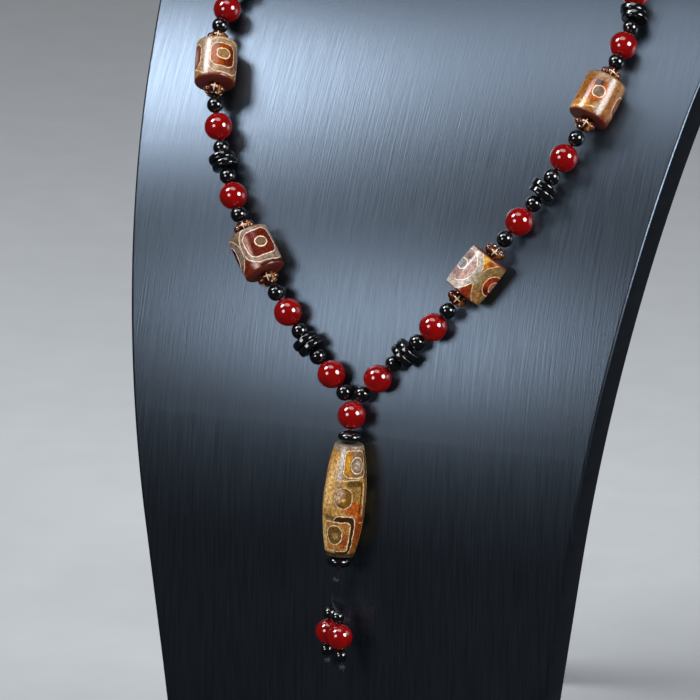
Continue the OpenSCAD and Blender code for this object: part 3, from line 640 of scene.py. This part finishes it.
def etched_agate(name, drawing, turn, first, second, ends, radius, length, cracks=0.0):
    """Agate, etched with soda and heated: mottled ground, pale drawn lines, worn ends, glassy polish. Some
    drawings also lay on painted highlights and painted shade.
    """
    material, tree, shader = new_material(
        name, IOR=1.54, Specular_IOR_Level=0.42, Subsurface_Weight=0.12, Subsurface_Radius=(1.0, 0.5, 0.25),
        Subsurface_Scale=0.0015)
    own = add(tree, "ShaderNodeAttribute", attribute_name="own_place").outputs["Vector"]
    own = add(tree, "ShaderNodeVectorRotate", {"Vector": own, "Angle": math.radians(turn)},
              rotation_type="Z_AXIS").outputs[0]
    flat, along = unroll(tree, own, radius)
    # The hand-drawn lines waver by about 0.2 mm over 2 mm
    waver = add(tree, "ShaderNodeTexNoise", {"Vector": own, "Scale": 0.5, "Detail": 2.0})
    centred = add(tree, "ShaderNodeVectorMath", {0: waver.outputs["Color"], 1: (0.5, 0.5, 0.5)},
                  operation="SUBTRACT")
    shift = add(tree, "ShaderNodeVectorMath", {0: centred.outputs[0], 1: (0.8, 0.8, 0)},
                operation="MULTIPLY")
    place = add(tree, "ShaderNodeVectorMath", {0: flat, 1: shift.outputs[0]}, operation="ADD")
    # Clouds of about 3 mm, mottle of about 1 mm and specks of about 0.4 mm
    cloud = add(tree, "ShaderNodeTexNoise", {"Vector": own, "Scale": 0.3, "Detail": 5.0, "Roughness": 0.65})
    mottle = add(tree, "ShaderNodeTexNoise", {"Vector": own, "Scale": 1.0, "Detail": 3.0})
    speck = add(tree, "ShaderNodeTexNoise", {"Vector": own, "Scale": 2.4, "Detail": 4.0, "Roughness": 0.7})
    blend = add(tree, "ShaderNodeMapRange", {"Value": cloud.outputs["Fac"], "From Min": 0.35,
                                             "From Max": 0.65})
    ground = add(tree, "ShaderNodeMix", {0: blend.outputs[0], 6: linear(first), 7: linear(second)},
                 data_type="RGBA").outputs[2]
    for row in drawing:
        ground = draw_shape(tree, ground, place.outputs[0], row)
    if cracks:
        # Fine dark heat cracks, about 1.3 mm apart
        bent = add(tree, "ShaderNodeVectorMath", {0: centred.outputs[0], 1: own}, operation="ADD")
        cells = add(tree, "ShaderNodeTexVoronoi", {"Vector": bent.outputs[0], "Scale": 0.75},
                    feature="DISTANCE_TO_EDGE")
        crack = add(tree, "ShaderNodeMapRange", {"Value": cells.outputs["Distance"], "From Max": 0.11,
                                                 "To Min": cracks, "To Max": 0.0})
        ground = add(tree, "ShaderNodeMix", {0: crack.outputs[0], 6: ground, 7: linear("4a2408")},
                     data_type="RGBA").outputs[2]
    for noise, low, high in ((mottle, 0.6, 1.3), (speck, 0.7, 1.26)):
        grain = add(tree, "ShaderNodeMapRange", {"Value": noise.outputs["Fac"], "From Min": 0.35,
                                                 "From Max": 0.65, "To Min": low, "To Max": high})
        ground = add(tree, "ShaderNodeVectorMath", {0: ground, "Scale": grain.outputs[0]},
                     operation="SCALE").outputs[0]
    # The ends keep their own colour and are left dull, from the rim inwards
    height = add(tree, "ShaderNodeMath", {0: along}, operation="ABSOLUTE")
    end = add(tree, "ShaderNodeMapRange", {"Value": height.outputs[0], "From Min": length / 2 - 0.7,
                                           "From Max": length / 2 - 0.1, "To Min": 0.0, "To Max": 0.95})
    ground = add(tree, "ShaderNodeMix", {0: end.outputs[0], 6: ground, 7: linear(ends)},
                 data_type="RGBA").outputs[2]
    tree.links.new(ground, shader.inputs["Base Color"])
    dull = add(tree, "ShaderNodeMapRange", {"Value": speck.outputs["Fac"], "To Min": 0.14, "To Max": 0.25})
    finish = add(tree, "ShaderNodeMix", {0: end.outputs[0], 2: dull.outputs[0], 3: 0.55})
    tree.links.new(finish.outputs[0], shader.inputs["Roughness"])
    relief = add(tree, "ShaderNodeBump", {"Height": speck.outputs["Fac"], "Strength": 0.05,
                                          "Distance": 0.1 * MM})
    tree.links.new(relief.outputs[0], shader.inputs["Normal"])
    return material


def leatherette(name, base, streak):
    """Embossed PU leatherette: satin, blue-black, with a fine upright brushed grain in its shine."""
    material, tree, shader = new_material(
        name, IOR=1.6, Specular_IOR_Level=0.88, Specular_Tint=(0.62, 0.78, 1, 1))
    where = add(tree, "ShaderNodeTexCoord").outputs["Object"]
    # Strokes about 0.6 mm wide and 20 mm long, and slow clouds of about 60 mm
    stretched = add(tree, "ShaderNodeMapping", {"Vector": where, "Scale": (1700, 50, 50)})
    strokes = add(tree, "ShaderNodeTexNoise", {"Vector": stretched.outputs[0], "Scale": 1.0, "Detail": 4.0,
                                               "Roughness": 0.6})
    cloud = add(tree, "ShaderNodeTexNoise", {"Vector": where, "Scale": 16.0, "Detail": 3.0})
    mask = add(tree, "ShaderNodeMapRange", {"Value": strokes.outputs["Fac"], "From Min": 0.35,
                                            "From Max": 0.7})
    tint = add(tree, "ShaderNodeMix", {0: mask.outputs[0], 6: linear(base), 7: linear(streak)},
               data_type="RGBA")
    rough = add(tree, "ShaderNodeMapRange", {"Value": strokes.outputs["Fac"], "From Min": 0.3,
                                             "From Max": 0.7, "To Min": 0.31, "To Max": 0.38})
    worn = add(tree, "ShaderNodeMapRange", {"Value": cloud.outputs["Fac"], "To Min": 0.92, "To Max": 1.08})
    shaded = add(tree, "ShaderNodeVectorMath", {0: tint.outputs[2], "Scale": worn.outputs[0]},
                 operation="SCALE")
    relief = add(tree, "ShaderNodeBump", {"Height": strokes.outputs["Fac"], "Strength": 0.3,
                                          "Distance": 0.15 * MM})
    tree.links.new(shaded.outputs[0], shader.inputs["Base Color"])
    tree.links.new(rough.outputs[0], shader.inputs["Roughness"])
    tree.links.new(relief.outputs[0], shader.inputs["Normal"])
    return material


def waxed_thread(name, dark, light):
    """Waxed polyester thread: near black, dull, with fine filaments along it."""
    material, tree, shader = new_material(name, IOR=1.5, Specular_IOR_Level=0.3)
    where = add(tree, "ShaderNodeTexCoord").outputs["Object"]
    fibre = add(tree, "ShaderNodeTexNoise", {"Vector": where, "Scale": 5000.0, "Detail": 3.0})
    tint = add(tree, "ShaderNodeMix", {0: fibre.outputs["Fac"], 6: linear(dark), 7: linear(light)},
               data_type="RGBA")
    rough = add(tree, "ShaderNodeMapRange", {"Value": fibre.outputs["Fac"], "To Min": 0.5, "To Max": 0.8})
    relief = add(tree, "ShaderNodeBump", {"Height": fibre.outputs["Fac"], "Strength": 0.4,
                                          "Distance": 0.08 * MM})
    tree.links.new(tint.outputs[2], shader.inputs["Base Color"])
    tree.links.new(rough.outputs[0], shader.inputs["Roughness"])
    tree.links.new(relief.outputs[0], shader.inputs["Normal"])
    return material


# Sizes and colours


def length_setting(name, description, millimetres):
    """A size that the sidebar shows as a length."""
    return bpy.props.FloatProperty(name=name, description=description, default=millimetres * MM,
                                   unit="LENGTH")


class BeadSizes(bpy.types.PropertyGroup):
    """Sizes of the beads, as the solids have them"""
    bore: length_setting("Bore", "Diameter of a bead's bore", 1.3)
    disc_bore: length_setting("Disc bore", "Diameter of a disc's hole", 2)
    red_d: length_setting("Red bead", "Diameter of a red bead of the strand", 9.8)
    tassel_red_d: length_setting("Tassel red bead", "Diameter of a tassel's red bead", 9)
    black_d: length_setting("Black bead", "Diameter of a small black bead", 5.8)
    tassel_black_d: length_setting("Tassel black bead", "Diameter of a tassel's black bead", 4.6)
    disc_d: length_setting("Disc", "Diameter of a black disc", 9.4)
    disc_t: length_setting("Disc thickness", "Thickness of a black disc", 2.5)
    disc_bevel: length_setting("Disc bevel", "Rounding of a disc's rims", 0.6)
    rondelle_d: length_setting("Rondelle", "Diameter of a rondelle", 8.4)
    rondelle_t: length_setting("Rondelle thickness", "Thickness of a rondelle", 4.4)
    petals: bpy.props.IntProperty(name="Petals", description="Petals of a flower spacer", default=5)
    petal_d: length_setting("Petal", "Diameter of one petal", 3.4)
    petal_r: length_setting("Petal distance", "Distance of a petal's middle from the thread", 2.2)
    hub_d: length_setting("Hub", "Diameter of a flower spacer's hub", 4.2)
    hub_l: length_setting("Hub length", "Length of a flower spacer's hub", 4.5)
    barrel_l: length_setting("Barrel length", "Length of a barrel dzi", 15.8)
    barrel_d: length_setting("Barrel", "Diameter of a barrel dzi at its middle", 14.8)
    barrel_end_d: length_setting("Barrel end", "Diameter of a barrel dzi at its ends", 14.3)
    long_l: length_setting("Long bead length", "Length of the long dzi", 39.6)
    long_d: length_setting("Long bead", "Diameter of the long dzi at its middle", 14.7)
    long_end_d: length_setting("Long bead end", "Diameter of the long dzi at its ends", 10.2)
    rim: length_setting("Dzi rim", "Rounding of the rims of both kinds of dzi", 0.8)


class BeadLooks(bpy.types.PropertyGroup):
    """Colours of the stones"""
    red_deep: bpy.props.FloatVectorProperty(name="Red, deep", description="Darker red of the agates",
                                            default=linear("520203")[:3], subtype="COLOR", min=0, max=1)
    red_bright: bpy.props.FloatVectorProperty(name="Red, bright", description="Lighter red of the agates",
                                              default=linear("880604")[:3], subtype="COLOR", min=0, max=1)
    onyx: bpy.props.FloatVectorProperty(name="Onyx", description="Black of the small beads and discs",
                                        default=linear("060607")[:3], subtype="COLOR", min=0, max=1)


class BustSizes(bpy.types.PropertyGroup):
    """Roundings of the bust's covered edges"""
    edge: length_setting("Edge", "Rounding of the covered board's edges", 1.2)
    strut_edge: length_setting("Strut edge", "Rounding of the strut's edges", 0.8)


# Pieces


def cover_over(node, name, edge):
    """A copy of a flat-sided CAD node with its loose triangles merged and its edges rounded."""
    select_only(frame["nodes"][node])
    bpy.ops.object.duplicate(linked=False)
    cover = bpy.context.object
    cover.name = name
    cover.data.name = name
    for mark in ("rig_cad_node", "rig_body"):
        del cover[mark]
    cover.parent = None
    bpy.ops.object.mode_set(mode="EDIT")
    bpy.ops.mesh.select_all(action="SELECT")
    bpy.ops.mesh.remove_doubles(threshold=NEAR)
    bpy.ops.mesh.dissolve_limited(angle_limit=math.radians(0.2))
    bpy.ops.mesh.select_all(action="DESELECT")
    bpy.ops.mesh.select_mode(type="EDGE")
    bpy.ops.mesh.edges_select_sharp(sharpness=math.radians(40))
    bpy.ops.mesh.bevel(offset=edge, segments=4, affect="EDGES")
    bpy.ops.object.mode_set(mode="OBJECT")
    return cover


class NECKLACE_OT_bust(bpy.types.Operator):
    """Covers the bust's board and strut in leatherette"""
    bl_idname = "necklace.bust"
    bl_label = "Bust"

    def execute(self, context):
        sizes = context.scene.bust_sizes
        board = cover_over("bust_board", "board_cover", sizes.edge)
        brushed = leatherette("brushed leatherette", "050608", "0a0b0d")
        finish_piece(board, "bust_board", brushed)
        strut = cover_over("bust_strut", "strut_cover", sizes.strut_edge)
        plain = leatherette("leatherette, back", "0b0c0f", "101216")
        finish_piece(strut, "bust_strut", plain)
        return {"FINISHED"}


class NECKLACE_OT_round_beads(bpy.types.Operator):
    """Models the red and the small black beads"""
    bl_idname = "necklace.round_beads"
    bl_label = "Round beads"

    def execute(self, context):
        sizes = context.scene.bead_sizes
        red = red_agate()
        black = black_onyx()
        for diameter, nodes in ((sizes.red_d, REDS + ["centre_red"]),
                                (sizes.tassel_red_d, ["tassel_red_left", "tassel_red_right"])):
            master = model_ball("red_master", diameter / 2, sizes.bore)
            keep_own_places(master)
            for i, node in enumerate(nodes):
                # Each bead is turned further about its thread, so that no two show the same clouds
                turn = 1.7 * i
                bead = lay_copies(master, node + "_stone", bead_places(node), [turn])
                finish_piece(bead, node, red)
            drop_master(master)
        for diameter, nodes in ((sizes.black_d, ["black_left", "black_right"]),
                                (sizes.tassel_black_d, ["tassel_black"])):
            master = model_ball("black_master", diameter / 2, sizes.bore, rings=24, segments=40)
            keep_own_places(master)
            for node in nodes:
                beads = lay_copies(master, node + "_stones", bead_places(node))
                finish_piece(beads, node, black)
            drop_master(master)
        return {"FINISHED"}


class NECKLACE_OT_discs(bpy.types.Operator):
    """Models the black discs and the two rondelles of the drop"""
    bl_idname = "necklace.discs"
    bl_label = "Discs and rondelles"

    def execute(self, context):
        sizes = context.scene.bead_sizes
        black = black_onyx()
        master = model_disc("disc_master", sizes.disc_d, sizes.disc_t, sizes.disc_bevel, sizes.disc_bore)
        keep_own_places(master)
        for side in SIDES:
            node = "discs_" + side
            discs = lay_copies(master, node + "_stones", bead_places(node))
            finish_piece(discs, node, black)
        drop_master(master)
        master = model_rondelle("rondelle_master", sizes.rondelle_d, sizes.rondelle_t, sizes.bore)
        keep_own_places(master)
        for node in ("rondelle_upper", "rondelle_lower"):
            rondelle = lay_copies(master, node + "_stone", bead_places(node))
            finish_piece(rondelle, node, black)
        drop_master(master)
        return {"FINISHED"}


class NECKLACE_OT_flowers(bpy.types.Operator):
    """Models the flower spacers"""
    bl_idname = "necklace.flowers"
    bl_label = "Flower spacers"

    def execute(self, context):
        sizes = context.scene.bead_sizes
        brown = flower_agate((sizes.petal_r + sizes.petal_d / 2) / MM)
        master = model_flower("flower_master", sizes)
        keep_own_places(master)
        for side in SIDES:
            node = "flowers_" + side
            piece = lay_copies(master, node + "_stones", bead_places(node))
            finish_piece(piece, node, brown, math.radians(60))
        drop_master(master)
        return {"FINISHED"}


class NECKLACE_OT_dzi(bpy.types.Operator):
    """Models the barrels and the long dzi, each with its own drawing"""
    bl_idname = "necklace.dzi"
    bl_label = "Dzi beads"

    def execute(self, context):
        sizes = context.scene.bead_sizes
        master = model_turned("barrel_master", sizes.barrel_l, sizes.barrel_d, sizes.barrel_end_d,
                              sizes.rim, sizes.bore, levels=8)
        keep_own_places(master)
        for node, (drawing, turn, first, second) in BARRELS.items():
            name = "etched agate, " + node.replace("_", " ")
            stone = etched_agate(name, drawing, turn, first, second, "561404", sizes.barrel_d / MM / 2,
                                 sizes.barrel_l / MM)
            barrel = lay_copies(master, node + "_stone", bead_places(node))
            finish_piece(barrel, node, stone)
        drop_master(master)
        master = model_turned("long_master", sizes.long_l, sizes.long_d, sizes.long_end_d,
                              sizes.rim, sizes.bore, levels=20)
        keep_own_places(master)
        stone = etched_agate("etched agate, long bead", LONG_BEAD, 0, "c8984e", "a87634", "54483c",
                             sizes.long_d / MM / 2, sizes.long_l / MM, cracks=0.6)
        long_bead = lay_copies(master, "long_dzi_stone", bead_places("long_dzi"))
        finish_piece(long_bead, "long_dzi", stone)
        drop_master(master)
        return {"FINISHED"}


class NECKLACE_OT_thread(bpy.types.Operator):
    """Gives the thread and its knots their finish"""
    bl_idname = "necklace.thread"
    bl_label = "Thread"

    def execute(self, context):
        waxed = waxed_thread("waxed thread", "050507", "16161b")
        frayed = waxed_thread("waxed thread, frayed at the knots", "0d0d11", "2c2e34")
        for node, finish in (("thread", waxed), ("tassel_thread", waxed), ("knots", frayed)):
            slots = frame["nodes"][node].data.materials
            slots.clear()
            slots.append(finish)
        return {"FINISHED"}


class NECKLACE_OT_studio(bpy.types.Operator):
    """Sets up the floor, the lights and the camera"""
    bl_idname = "necklace.studio"
    bl_label = "Studio"

    def execute(self, context):
        select_only()
        bpy.ops.mesh.primitive_plane_add(size=12)
        floor = bpy.context.object
        floor.name = "floor"
        paper, tree, shader = new_material("matt paper floor", Roughness=0.8)
        where = add(tree, "ShaderNodeTexCoord").outputs["Object"]
        grain = add(tree, "ShaderNodeTexNoise", {"Vector": where, "Scale": 40.0, "Detail": 4.0})
        tint = add(tree, "ShaderNodeMix", {0: grain.outputs["Fac"], 6: linear("b4b6b8"),
                                           7: linear("bec0c2")}, data_type="RGBA")
        tree.links.new(tint.outputs[2], shader.inputs["Base Color"])
        floor.data.materials.append(paper)
        floor.visible_glossy = False
        towards = to_camera()
        right = Vector((math.cos(CAMERA_TURN), math.sin(CAMERA_TURN), 0))
        up = towards.cross(right)
        # Softboxes, placed by their shine on the round beads. Columns: name, direction from the object (to
        # the right, up and towards the camera), distance, width and height in metres, and watts
        for name, direction, away, wide, tall, power in (
                ("softbox_left_high", (-0.63, 0.69, 0.35), 1.5, 0.5, 0.68, 18.5),
                ("softbox_left_low", (-0.59, 0.1, 0.8), 1.9, 0.74, 0.74, 12),
                ("softbox_right", (0.71, 0.26, 0.66), 1.5, 0.76, 0.76, 25),
                ("softbox_top", (-0.1, 0.86, 0.5), 1.5, 1.1, 0.7, 7.5)):
            spot = (right * direction[0] + up * direction[1] + towards * direction[2]) * away
            select_only()
            bpy.ops.object.light_add(type="AREA", location=spot + CAMERA_AIM)
            light = bpy.context.object
            light.name = name
            light.data.shape = "ELLIPSE"
            light.data.size = wide
            light.data.size_y = tall
            light.data.energy = power
            light.data.color = (0.94, 0.97, 1)
            light.rotation_euler = spot.to_track_quat("Z", "Y").to_euler()
        world = bpy.data.worlds.new("soft room")
        world.use_nodes = True
        world.node_tree.nodes["Background"].inputs[0].default_value = (0.75, 0.8, 0.9, 1)
        world.node_tree.nodes["Background"].inputs[1].default_value = 0.035
        context.scene.world = world
        rolled_right = right * math.cos(CAMERA_ROLL) + up * math.sin(CAMERA_ROLL)
        rolled_up = up * math.cos(CAMERA_ROLL) - right * math.sin(CAMERA_ROLL)
        bpy.ops.object.camera_add()
        camera = bpy.context.object
        camera.name = "photograph_camera"
        camera.data.sensor_width = 36
        camera.data.lens = CAMERA_LENS
        camera.data.clip_end = 50
        turned = Matrix((rolled_right, rolled_up, towards)).transposed().to_4x4()
        camera.matrix_world = Matrix.Translation(CAMERA_AIM + towards * CAMERA_AWAY) @ turned
        context.scene.camera = camera
        context.scene.view_settings.view_transform = "Standard"
        return {"FINISHED"}


class NECKLACE_PT_panel(bpy.types.Panel):
    """Lists the sizes, the colours and the operators"""
    bl_idname = "NECKLACE_PT_panel"
    bl_label = "Dzi bead necklace"
    bl_space_type = "VIEW_3D"
    bl_region_type = "UI"
    bl_category = "Necklace"

    def draw(self, context):
        for group in (context.scene.bead_sizes, context.scene.bead_looks, context.scene.bust_sizes):
            for name in group.__annotations__:
                self.layout.prop(group, name)
        for operator in STEPS:
            self.layout.operator(operator.bl_idname)


STEPS = (NECKLACE_OT_bust, NECKLACE_OT_round_beads, NECKLACE_OT_discs, NECKLACE_OT_flowers, NECKLACE_OT_dzi,
         NECKLACE_OT_thread, NECKLACE_OT_studio)
GROUPS = {"bead_sizes": BeadSizes, "bead_looks": BeadLooks, "bust_sizes": BustSizes}


def register():
    """Makes the groups, the operators and the panel known."""
    for kind in (*GROUPS.values(), *STEPS, NECKLACE_PT_panel):
        bpy.utils.register_class(kind)
    for name, kind in GROUPS.items():
        setattr(bpy.types.Scene, name, bpy.props.PointerProperty(type=kind))


def unregister():
    """Takes them away again."""
    for name in GROUPS:
        delattr(bpy.types.Scene, name)
    for kind in (NECKLACE_PT_panel, *reversed(STEPS), *GROUPS.values()):
        bpy.utils.unregister_class(kind)


def main():
    register()
    for step in STEPS:
        module, name = step.bl_idname.split(".")
        getattr(getattr(bpy.ops, module), name)()


if __name__ == "__main__":
    main()
